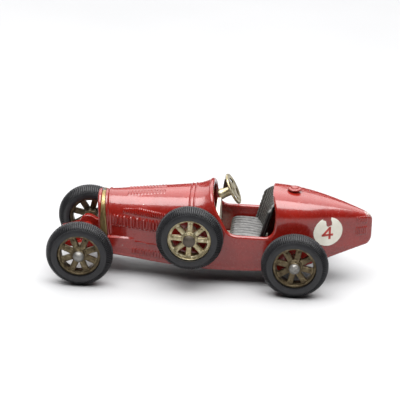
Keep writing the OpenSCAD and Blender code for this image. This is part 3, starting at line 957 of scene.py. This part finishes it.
def suspension(material):
    """Dumb irons with friction dampers, axle beam, cross tube and apron."""
    iron = [
        (NOSE_D, 6.0), (NOSE_D, 9.6), (48.0, 9.9), (48.6, 10.3), (49.2, 10.65), (50, 10.8), (50.7, 10.6),
        (51.3, 10.1), (51.8, 9.3), (52.3, 8.85), (54, 8.2), (55.6, 7.72), (56.1, 7.55), (56.3, 7.3),
        (56.2, 7.0), (55.8, 6.85), (55, 6.8), (52.5, 7.0), (51.6, 6.2), (48.4, 6.2), (47.4, 6.7),
    ]
    iron = [(REAR_X + d, z) for d, z in iron]
    parts = []
    for side in (1, -1):
        piece = extrude_y(iron, side * 5 - 0.8, side * 5 + 0.8).make("iron", material)
        parts.append(bevel(piece, 0.3, 4))
    round_parts = Build()
    beam = [(0.0, -8.7), (1.25, -8.7), (1.5, -8.45), (1.5, -7.2), (1.2, -6.8), (1.2, -5.9), (1.5, -5.7),
            (1.5, 5.7), (1.2, 5.9), (1.2, 6.8), (1.5, 7.2), (1.5, 8.45), (1.25, 8.7), (0.0, 8.7)]
    round_parts.lathe(beam, steps=48, matrix=Matrix.Translation((FRONT_X, 0, AXLE_Z)) @ LIE_ACROSS)
    tie = [(0.0, -5.0), (0.55, -5.0), (0.55, 5.0), (0.0, 5.0)]
    round_parts.lathe(tie, steps=32, matrix=Matrix.Translation((REAR_X + 55.5, 0, 7.35)) @ LIE_ACROSS)
    damper = [(0.0, 0.0), (1.1, 0.0), (1.1, 0.5), (1.0, 0.62), (0.82, 0.66), (0.82, 1.1), (0.78, 1.24),
              (0.62, 1.34), (0.42, 1.36), (0.4, 1.56), (0.3, 1.6), (0.0, 1.6)]
    for side in (1, -1):
        round_parts.lathe(damper, steps=40, matrix=outward(side, (FRONT_X - 0.2, side * 5, 9.7)))
    parts.append(round_parts.make("rods", material, sharp=40))
    apron = Build().add(*block((REAR_X + NOSE_D, -5, 6.0), (REAR_X + NOSE_D + 3, 5, 7.1)))
    parts.append(bevel(apron.make("apron", material), 0.2, 3))
    tongue = Build().add(*block((REAR_X + 35.8, -2.8, 6.56), (REAR_X + NOSE_D + 0.8, 2.8, 7.5)))
    parts.append(tongue.make("tongue", material))
    # Leaf springs laid over the axle on the outer side of each iron
    for side in (1, -1):
        for k, reach in enumerate((3.2, 2.4, 1.6)):
            z = 6.0 - 0.32 * k
            low, high = Vector((-reach, -0.55, -0.14)), Vector((reach, 0.55, 0.14))
            middle = Vector((FRONT_X, side * 5, z))
            leaf = Build().add(*block(middle + low, middle + high))
            parts.append(bevel(leaf.make("leaf", material), 0.06, 2))
    whole = join(*parts)
    whole.name = "suspension_casting"
    return whole


def block(low, high):
    """Vertices and faces of a box."""
    (x0, y0, z0), (x1, y1, z1) = low, high
    verts = [(x, y, z) for x in (x0, x1) for y in (y0, y1) for z in (z0, z1)]
    faces = [(0, 1, 3, 2), (4, 6, 7, 5), (0, 4, 5, 1), (2, 3, 7, 6), (0, 2, 6, 4), (1, 5, 7, 3)]
    return verts, faces


RADIATOR_LOW = 7.4
BAND_FRONT_D = 46.0
LIP_T = 0.4


def radiator_half(grow):
    """Left half of the radiator's outline from its foot to its crown, as (y, z) points."""
    w, top, low = NOSE_W + grow, NOSE_TOP + grow, RADIATOR_LOW - grow
    foot = [(0.0, low), (w * 0.35, low), (w - 1.3, low), (w - 0.75, low + 0.25), (w - 0.35, low + 1.0),
            (w - 0.2, low + 2.2), (w - 0.05, low + 3.6)]
    return foot + [arch_point(a, w, NOSE_WAIST, top, NOSE_CURVE) for a in arange(0, 90, 3)] + [(0.0, top)]


def radiator_plane(u, z):
    """X of a plane across the radiator: u is 0 at the band's rear, 1 at its front, 2 at the lip's front."""
    lean = NOSE_LEAN * (z - NOSE_WAIST)
    planes = (NOSE_D + lean, BAND_FRONT_D, BAND_FRONT_D + LIP_T + lean)
    k = 0 if u <= 1 else 1
    return REAR_X + mix(planes[k], planes[k + 1], u - k)


def radiator_ring(u, grow):
    """Full outline of the radiator in the plane u."""
    left = radiator_half(grow)
    ring = left + [(-y, z) for y, z in left[-2:0:-1]]
    return [(radiator_plane(u, z), y, z) for y, z in ring]


def radiator_hoop(name, profile, material, sharp):
    """Hoop around the radiator over a profile of (plane, growth) points."""
    build = Build()
    build.grid([radiator_ring(u, grow) for u, grow in profile], close_rows=True, close_cols=True)
    return build.make(name, material, sharp=sharp)


def radiator_band(material):
    """Band round the radiator with rolled edges."""
    profile = [(0.04, -0.75), (0.04, -0.1), (0.1, 0.04), (0.2, 0.1), (0.5, 0.085), (0.8, 0.1),
               (0.93, 0.05), (0.99, -0.06), (1.0, -0.75)]
    return radiator_hoop("radiator_band", profile, material, 45)


def radiator_lip(material):
    """Rounded painted lip in front of the band."""
    profile = [(1.0, -0.8), (1.02, -0.14), (1.15, -0.06), (1.4, -0.02), (1.65, -0.06), (1.85, -0.18),
               (1.96, -0.36), (1.98, -0.56), (1.9, -0.74), (1.7, -0.8)]
    return radiator_hoop("radiator_lip", profile, material, 60)


def radiator_grille(material):
    """Radiator core: a fine honeycomb of raised bars inside the outline."""
    outline = [(z, y) for y, z in radiator_half(-0.78)[2:]]

    def half_width(z):
        best = 0.0
        for (z0, y0), (z1, y1) in zip(outline, outline[1:]):
            if z0 <= z <= z1:
                best = mix(y0, y1, (z - z0) / max(1e-6, z1 - z0))
        return best

    pitch, bar, widest = 0.44, 0.1, 4.2
    low, top = RADIATOR_LOW + 0.8, NOSE_TOP - 0.8
    build = Build()
    rows = []
    for j in range(151):
        z = mix(low, top, j / 150)
        limit = half_width(z)
        row = []
        for i in range(121):
            y = mix(-widest, widest, i / 120)
            across = pitch / 2 - abs((y / pitch) % 1.0 - 0.5) * pitch
            along = pitch / 2 - abs((z / pitch + 0.5 * (math.floor(y / pitch) % 2)) % 1.0 - 0.5) * pitch
            raised = smooth((bar - min(across, along)) / 0.06 + 0.5)
            row.append((REAR_X + BAND_FRONT_D + 0.05 + 0.2 * raised, min(max(y, -limit), limit), z))
        rows.append(row)
    build.grid(rows)
    # The core's sides, with no back: nothing behind the bars can be seen
    back = [[(p[0] - 0.6, p[1], p[2]) for p in row] for row in rows]
    build.grid([back[0], rows[0]])
    build.grid([rows[-1], back[-1]])
    for edge in (0, -1):
        build.grid([[row[edge] for row in rows], [row[edge] for row in back]])
    return build.make("radiator_grille", material, sharp=30, weld=0.002)


def radiator_filler(material):
    """Small turned cap with a waisted foot."""
    low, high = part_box("radiator_cap")
    x = (low.x + high.x) / 2 / MM
    top = high.z / MM
    profile = [(0.0, -0.9), (0.38, -0.9), (0.38, -0.42), (0.5, -0.36), (0.5, -0.18), (0.42, -0.1),
               (0.34, -0.08), (0.3, -0.02), (0.16, 0.0), (0.0, 0.0)]
    build = Build().lathe(profile, steps=32, matrix=Matrix.Translation((x, 0, top)))
    return build.make("radiator_filler", material, sharp=40)


# ---------------------------------------------------------------- cockpit

FLOOR_Z = 8.3
CUSHION_TOP = 12.6
CUSHION_REAR = 9.2
CUSHION_FRONT = 15.8
CUSHION_HALF = 5.85
CUSHION_RIBS = 8
BACKREST_R = 12.5
BACKREST_T = 0.9
BACKREST_D = 8.7
BACKREST_LEAN = 15.0
BACKREST_TURN = 7.0
BACKREST_HALF = 6.15
BACK_RIBS = 14


def rib(t, depth):
    """Rounded rib profile: 0 on its crest, depth in the valleys where t is a whole number."""
    u = 2 * (t % 1.0) - 1
    return depth * (1 - math.sqrt(max(0.0, 1 - u * u * 0.98)))


def closed_sheet(build, front, back):
    """Joins two grids of the same size along their edges into one closed skin."""
    build.grid(front)
    build.grid(back)
    build.grid([front[0], back[0]])
    build.grid([front[-1], back[-1]])
    for edge in (0, -1):
        build.grid([[row[edge] for row in front], [row[edge] for row in back]])


def cushion(material):
    """Cushion with rolled ribs that run from back to front and down over its front edge."""
    path = [(d, CUSHION_TOP - 0.3 * ((d - 12.5) / 3.3) ** 2) for d in arange(CUSHION_REAR - 1.0, 14.3, 0.3)]
    path += arc((14.3, CUSHION_TOP - 1.6), 1.5, 88, 4, 12)
    path += [(CUSHION_FRONT, z) for z in arange(CUSHION_TOP - 1.9, FLOOR_Z, 0.5)] + [(CUSHION_FRONT, FLOOR_Z)]
    steps = CUSHION_RIBS * 12
    front, back = [], []
    for k, (d, z) in enumerate(path):
        d0, z0 = path[max(0, k - 1)]
        d1, z1 = path[min(len(path) - 1, k + 1)]
        normal = Vector((z0 - z1, d1 - d0)).normalized()
        row = []
        for i in range(steps + 1):
            t = i / steps
            y = mix(-CUSHION_HALF, CUSHION_HALF, t)
            depth = rib(t * CUSHION_RIBS, 0.6) + 0.3 * smooth((abs(y) - CUSHION_HALF + 0.9) / 0.9)
            depth += 0.07 * noise.noise(Vector((d * 0.7, y * 0.7, z))) + 0.07
            row.append((REAR_X + d - normal.x * depth, y, z - normal.y * depth))
        front.append(row)
        back.append([(p[0], p[1], FLOOR_Z) for p in row])
    build = Build()
    closed_sheet(build, front, back)
    return build.make("seat_cushion", material, sharp=60, weld=0.003)


def backrest_top(y):
    """Height of the backrest's rounded top; its driver's side stands higher."""
    return 14.2 + 0.7 * smooth(-y / 3.0) + math.sqrt(7.35 ** 2 - y * y)


def backrest_point(y, z, depth):
    """Point at height z on the backrest, depth behind its front face."""
    lean, turn = math.radians(BACKREST_LEAN), math.radians(BACKREST_TURN)
    r = BACKREST_R + depth
    sag = r - math.sqrt(r * r - y * y)
    d = BACKREST_D - depth - math.tan(lean) * (z - CUSHION_TOP + 3) + sag - y * math.tan(turn)
    return REAR_X + d, y, z


def backrest(material):
    """Hollowed backrest with upright ribs and a rounded edge."""
    front, back = [], []
    steps = BACK_RIBS * 10
    for j in range(61):
        v = j / 60
        front_row, back_row = [], []
        for i in range(steps + 1):
            t = i / steps
            y = mix(-BACKREST_HALF, BACKREST_HALF, t)
            z = mix(9.4, backrest_top(y), v)
            edge = max(smooth((abs(2 * t - 1) - 0.94) / 0.06), smooth((v - 0.955) / 0.045))
            depth = rib(t * BACK_RIBS, 0.3) * (1 - edge) + 0.3 * edge * edge
            depth += 0.05 * math.sin(z * 6.0 + 3 * noise.noise(Vector((y, z, 0)) * 0.8)) * (1 - edge) + 0.05
            front_row.append(backrest_point(y, z, depth))
            back_row.append(backrest_point(y, z, BACKREST_T - 0.2 * edge))
        front.append(front_row)
        back.append(back_row)
    build = Build()
    closed_sheet(build, front, back)
    return build.make("seat_backrest", material, sharp=60, weld=0.003)


def seat(cushion_material, back_material):
    """Cushion and backrest in one piece."""
    whole = join(cushion(cushion_material), backrest(back_material))
    whole.name = "seat_moulding"
    return whole


STEERING_R = 3.8
STEERING_RAKE = 28.0
STEERING_HUB = Vector((REAR_X + 15.5, -3.0, 20.2))
COLUMN_R = 1.2


def steering(material, dark):
    """Flat cast wheel with four slots, on a thick column with a bracing web."""
    tilt = Matrix.Rotation(math.radians(90 + STEERING_RAKE), 4, "Y")
    place = Matrix.Translation(STEERING_HUB) @ tilt
    r = STEERING_R
    profile = [(0.0, -0.16), (1.35, -0.16), (1.5, -0.1), (2.9, -0.14), (3.2, -0.24), (r - 0.2, -0.3),
               (r - 0.06, -0.24), (r, -0.1), (r, 0.12), (r - 0.06, 0.24), (r - 0.2, 0.3), (3.1, 0.28),
               (2.8, 0.16), (1.4, 0.16), (0.0, 0.16)]
    disc = Build().lathe(profile, steps=96).make("disc", material, sharp=45)
    for middle in (45, 135, 225, 315):
        outer = [(2.75, middle + t) for t in range(-26, 27, 4)]
        inner = [(1.75, middle + t) for t in range(22, -23, -4)]
        slot = [(r * math.cos(math.radians(a)), r * math.sin(math.radians(a))) for r, a in outer + inner]
        tool = Build().prism([(x, y, -1.0) for x, y in slot], [(x, y, 1.0) for x, y in slot])
        cut(disc, tool.make("slot", dark))
    disc.data.transform(Matrix.Translation(STEERING_HUB * MM) @ tilt)
    bevel(disc, 0.05, 2)
    profile = [(0.0, -0.24), (0.4, -0.24), (0.5, -0.16), (0.5, 0.1), (COLUMN_R, 0.1), (COLUMN_R, 2.75),
               (1.27, 2.85), (1.27, 3.5), (1.1, 3.6), (0.0, 3.6)]
    column = Build().lathe(profile, steps=48, matrix=place).make("column", material, sharp=45)
    # The web takes the darker brass as painted shade under the wheel.
    web_side = [(-1.0, 0.2), (-1.0, 2.1), (-1.5, 1.95), (-3.0, 0.85), (-2.8, 0.2)]
    web = Build().prism([(x, -0.4, z) for x, z in web_side], [(x, 0.4, z) for x, z in web_side], matrix=place)
    web = bevel(web.make("web", dark), 0.1, 3)
    whole = join(disc, column, web)
    whole.name = "steering_wheel_cast"
    return whole


def filler(material):
    """Fuel filler: a turned collar under a knurled cap with a stepped top."""
    low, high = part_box("filler_cap")
    centre = ((low.x + high.x) / 2 / MM, 0, high.z / MM - 1.1)
    build = Build()
    profile = [(0.0, -1.35), (0.78, -1.35), (0.8, -0.12), (1.1, -0.1), (1.13, 0.1), (1.15, 0.32),
               (1.42, 0.36), (1.63, 0.44), (1.65, 0.56), (1.63, 0.68), (1.48, 0.78), (1.1, 0.82),
               (0.95, 0.84), (0.9, 0.9), (0.88, 0.99), (0.8, 1.06), (0.6, 1.09), (0.0, 1.1)]
    build.lathe(profile, steps=72)
    for v in build.verts:
        r = math.hypot(v.x, v.y)
        if r > 1.5:
            knurl = 0.05 * (0.5 + 0.5 * math.cos(24 * math.atan2(v.y, v.x)))
            v.x -= v.x / r * knurl
            v.y -= v.y / r * knurl
    build.verts = [v + Vector(centre) for v in build.verts]
    return build.make("filler", material, sharp=45)


# ---------------------------------------------------------------- number labels

LABEL_D = -7.2
LABEL_Z = 14.05
LABEL_R = 3.55
LABEL_TAPER = 0.37
# Outline of the torn-off piece, in millimetres from the label's middle
TORN = [(-1.55, 3.6), (-1.42, 3.05), (-0.6, 2.62), (-0.44, 1.5), (-0.05, 1.2), (0.5, 1.42), (0.92, 1.55),
        (0.83, 2.5), (0.62, 3.05), (0.7, 3.9), (-0.6, 4.2)]


def inside(point, polygon):
    """Whether a point is inside a polygon, by counting the edges to its right."""
    x, y = point
    hit = False
    for (x0, y0), (x1, y1) in zip(polygon, polygon[1:] + polygon[:1]):
        if (y0 > y) != (y1 > y) and x < (x1 - x0) * (y - y0) / (y1 - y0) + x0:
            hit = not hit
    return hit


def on_tail(along, up, side, lift):
    """Point on the tail's side: along runs to the tail's tip, and up is height above the label's middle."""
    d = LABEL_D - along / math.hypot(1.0, LABEL_TAPER)
    z = LABEL_Z + up
    slope = Vector((LABEL_TAPER, 1.0)).normalized()
    y = side_y(d, z)
    return REAR_X + d - lift * slope.x, side * (y + lift * slope.y), z


def label(name, side, material, torn):
    """Round paper label that follows the tail's curve, with a torn notch where torn is set."""
    build = Build()
    rings, spokes = 46, 160
    random.seed(7)
    ragged = [0.04 * random.random() for _ in range(spokes)]
    faces, verts, index = [], [], {}
    for j in range(rings + 1):
        for i in range(spokes):
            a = math.tau * i / spokes
            r = LABEL_R * j / rings - (ragged[i] if j == rings else 0)
            index[j, i] = len(verts)
            verts.append((r * math.cos(a), r * math.sin(a)))
    for j in range(rings):
        for i in range(spokes):
            after = (i + 1) % spokes
            corners = [index[j, i], index[j + 1, i], index[j + 1, after], index[j, after]]
            middle = [sum(verts[c][k] for c in corners) / 4 for k in (0, 1)]
            if torn and inside(middle, TORN):
                continue
            faces.append(corners)
    top = [on_tail(x, z, side, 0.09) for x, z in verts]
    build.add(top, faces)
    obj = build.make(name, material, sharp=60)
    modify(obj, "SOLIDIFY", sharp=60, thickness=0.07 * MM, offset=-1.0)
    if (obj.data.polygons[0].normal.y > 0) != (side > 0):
        obj.data.flip_normals()
    return obj


def numeral(name, side, material):
    """Painted racing number: flat strokes that follow the label and read the right way on either side."""
    build = Build()
    strokes = [[(-1.2, -0.45), (0.38, 1.3)], [(-1.3, -0.45), (1.05, -0.45)], [(0.42, 1.35), (0.42, -1.3)]]
    half = 0.27
    for start, stop in strokes:
        a, b = Vector(start), Vector(stop)
        along = (b - a).normalized()
        across = Vector((-along.y, along.x)) * half
        a, b = a - along * half * 0.8, b + along * half * 0.8
        rows = []
        for i in range(25):
            p = a.lerp(b, i / 24)
            points = [p + across * s for s in (-1, 0, 1)]
            rows.append([on_tail(side * q.x, q.y - 0.35, side, 0.125) for q in points])
        build.grid(rows)
    obj = build.make(name, material, sharp=60)
    modify(obj, "SOLIDIFY", sharp=60, thickness=0.04 * MM, offset=-1.0)
    return obj


# ---------------------------------------------------------------- the car

TAIL_TIP_WEAR = ((REAR_X - 16.7, 0.0, 17.6), 1.5)
TAIL_CHIP = ((REAR_X - 8.4, 2.0, 20.1), 0.3)

RED = paint("red_enamel", (0.17, 0.0065, 0.0035), (0.225, 0.0095, 0.005), [TAIL_TIP_WEAR, TAIL_CHIP])
BLACK = paint("black_enamel", (0.020, 0.019, 0.019), (0.035, 0.033, 0.032))
NUMBER_RED = plastic("number_ink", (0.36, 0.025, 0.02), (0.46, 0.04, 0.03), (0.25, 0.04, 0.03))
AGED_BRASS = cast_brass("aged_brass", (0.05, 0.036, 0.02), (0.13, 0.10, 0.058), (0.28, 0.23, 0.14))
PALE_BRASS = cast_brass(
    "pale_brass", (0.20, 0.16, 0.085), (0.42, 0.36, 0.22), (0.72, 0.67, 0.50), roughness=(0.25, 0.45),
)
# Darker copy of the brass for the steering wheel's web: painted shade.
SHADED_BRASS = cast_brass(
    "shaded_brass", (0.03, 0.02, 0.012), (0.06, 0.04, 0.025), (0.13, 0.09, 0.06), roughness=(0.4, 0.6),
)
GOLD = gold_band("gold_band")
STEEL = steel("rivet_steel", (0.27, 0.262, 0.245), (0.10, 0.092, 0.082))
OLD_STEEL = steel("old_rivet_steel", (0.12, 0.10, 0.08), (0.05, 0.04, 0.03))
TYRE = rubber("tyre_rubber")
CREAM = plastic("cream_plastic", (0.74, 0.70, 0.57), (0.84, 0.81, 0.70), (0.45, 0.40, 0.30))
# Cushion and backrest are one plastic in two copies: the paler cushion copy is a painted highlight from the
# light above, and the darker backrest copy is painted shade.
LIT_CUSHION_PLASTIC = ribbed_plastic(
    "seat_cushion_plastic_lit", 2 * CUSHION_HALF / CUSHION_RIBS, (0.005, 0.005, 0.005), (0.15, 0.146, 0.14),
)
SHADED_BACKREST_PLASTIC = ribbed_plastic(
    "seat_back_plastic_shaded", 2 * BACKREST_HALF / BACK_RIBS, (0.003, 0.003, 0.003), (0.09, 0.088, 0.083),
)
LABEL = paper_label("white_decal")

show(body_casting(RED), "root", "red_enamel", "body_shell")
show(suspension(RED), "root", "red_enamel", "front_suspension")
show(radiator_band(GOLD), "root", "gold_band", "radiator_shell")
show(radiator_lip(RED), "root", "red_enamel", "radiator_bezel")
show(radiator_grille(GOLD), "root", "gold_band", "radiator_core")
show(radiator_filler(BLACK), "root", "black_enamel", "radiator_cap")
show(seat(LIT_CUSHION_PLASTIC, SHADED_BACKREST_PLASTIC), "root", "seat_plastic", "seat")
show(steering(PALE_BRASS, SHADED_BRASS), "root", "pale_brass", "steering_wheel")
show(filler(RED), "root", "red_enamel", "filler_cap")
show(label("label_left", 1, LABEL, True), "root", "white_decal", "roundel_left")
show(label("label_right", -1, LABEL, False), "root", "white_decal", "roundel_right")
show(numeral("numeral_left", 1, NUMBER_RED), "root", "red_enamel")
show(numeral("numeral_right", -1, NUMBER_RED), "root", "red_enamel")

ROAD_LIP_R = 4.45
ROAD_SPOKE_W = 1.35
SPARE_LIP_R = 4.78
SPARE_SPOKE_W = 1.2


def wheel_and_tyre(name, material, slot, phase, lip_r, spoke_w, side, centre):
    """A wheel and its tyre on one joint, standing for the CAD nodes of the same name."""
    pair = (
        (wheel(f"{name}_wheel_cast", material, phase, lip_r, spoke_w), slot, f"{name}_wheel"),
        (tyre(f"{name}_tyre_tread", TYRE), "tyre_rubber", f"{name}_tyre"),
    )
    for piece, piece_slot, node in pair:
        piece.matrix_world = outward(side, centre * MM)
        show(piece, f"{name}_wheel", piece_slot, node)


WHEEL_PHASE = {"front_left": 22.5, "rear_left": 32.5, "front_right": 12.5, "rear_right": 22.5}
for corner, phase in WHEEL_PHASE.items():
    side = 1 if corner.endswith("left") else -1
    centre = joint_at[f"{corner}_wheel_spin"]
    wheel_and_tyre(corner, AGED_BRASS, "aged_brass", phase, ROAD_LIP_R, ROAD_SPOKE_W, side, centre)
wheel_and_tyre("spare", PALE_BRASS, "pale_brass", -2.0, SPARE_LIP_R, SPARE_SPOKE_W, 1, SPARE_AT)

show(axle("front_axle_rod", STEEL, FRONT_X, False), "front_axle", "rivet_steel", "front_axle")
show(axle("rear_axle_rod", STEEL, REAR_X, True), "rear_axle", "rivet_steel", "rear_axle")

KEPT = {"base_plate": BLACK, "base_rivets": STEEL, "dash_floor": CREAM, "spare_stud": OLD_STEEL}
for node, material in KEPT.items():
    mesh = frame["nodes"][node].data
    mesh.materials.clear()
    mesh.materials.append(material)


# ---------------------------------------------------------------- floor, light and camera

def floor():
    """Pale card under the car, 6 m across."""
    mesh = bpy.data.meshes.new("floor")
    half = 3.0
    corners = [(-half, -half, 0), (half, -half, 0), (half, half, 0), (-half, half, 0)]
    mesh.from_pydata(corners, [], [(0, 1, 2, 3)])
    obj = bpy.data.objects.new("floor", mesh)
    bpy.context.scene.collection.objects.link(obj)
    s = Shader("floor_card", roughness=0.6, specular=0.25)
    s.colour(s.ramp(s.noise(60.0, detail=2), [(0.3, (0.385, 0.385, 0.39)), (0.7, (0.40, 0.40, 0.405))]))
    s.bump(s.noise(3.0), 0.02)
    mesh.materials.append(s.material)


def area_light(name, position, target, size, power):
    """White softbox that faces its target."""
    data = bpy.data.lights.new(name, "AREA")
    data.shape = "RECTANGLE"
    data.size, data.size_y = size
    data.energy = power
    obj = bpy.data.objects.new(name, data)
    obj.location = position
    obj.rotation_mode = "QUATERNION"
    obj.rotation_quaternion = (Vector(target) - Vector(position)).to_track_quat("-Z", "Y")
    bpy.context.scene.collection.objects.link(obj)


def world():
    """Dim room: a little light from above and almost none at the horizon."""
    made = bpy.data.worlds.new("room")
    made.use_nodes = True
    nodes, links = made.node_tree.nodes, made.node_tree.links
    coords = nodes.new("ShaderNodeTexCoord")
    split = nodes.new("ShaderNodeSeparateXYZ")
    ramp = nodes.new("ShaderNodeValToRGB")
    ramp.color_ramp.elements[0].position = 0.25
    ramp.color_ramp.elements[0].color = (0.03, 0.03, 0.032, 1)
    ramp.color_ramp.elements[1].position = 0.9
    ramp.color_ramp.elements[1].color = (0.6, 0.6, 0.6, 1)
    links.new(coords.outputs["Generated"], split.inputs["Vector"])
    links.new(split.outputs["Z"], ramp.inputs["Fac"])
    links.new(ramp.outputs["Color"], nodes["Background"].inputs["Color"])
    nodes["Background"].inputs["Strength"].default_value = 0.6
    bpy.context.scene.world = made


def camera():
    """Long lens, a little above the car, square on to its left side."""
    yaw, elevation, roll = (math.radians(a) for a in (-3.66, 22.83, 1.80))
    flat = math.cos(elevation)
    back = Vector((math.sin(yaw) * flat, math.cos(yaw) * flat, math.sin(elevation)))
    right = (-back).cross(Vector((0, 0, 1))).normalized()
    up = right.cross(-back)
    x_axis = math.cos(roll) * right + math.sin(roll) * up
    y_axis = math.cos(roll) * up - math.sin(roll) * right
    data = bpy.data.cameras.new("camera")
    data.sensor_width = 36.0
    data.lens = 204.4
    data.clip_start = 0.05
    data.clip_end = 10.0
    obj = bpy.data.objects.new("camera", data)
    turn = Matrix((x_axis, y_axis, back)).transposed().to_4x4()
    obj.matrix_world = Matrix.Translation((-0.028432, 0.489365, 0.224541)) @ turn
    bpy.context.scene.collection.objects.link(obj)
    bpy.context.scene.camera = obj


floor()
world()
area_light("overhead", (0.0, 0.125, 0.5), (0, 0.125, 0), (0.75, 0.5), 9.0)
area_light("back_ceiling", (0.0, -0.60, 0.55), (0, -0.25, 0), (1.3, 0.8), 7.0)
camera()
bpy.context.scene.view_settings.view_transform = "Standard"
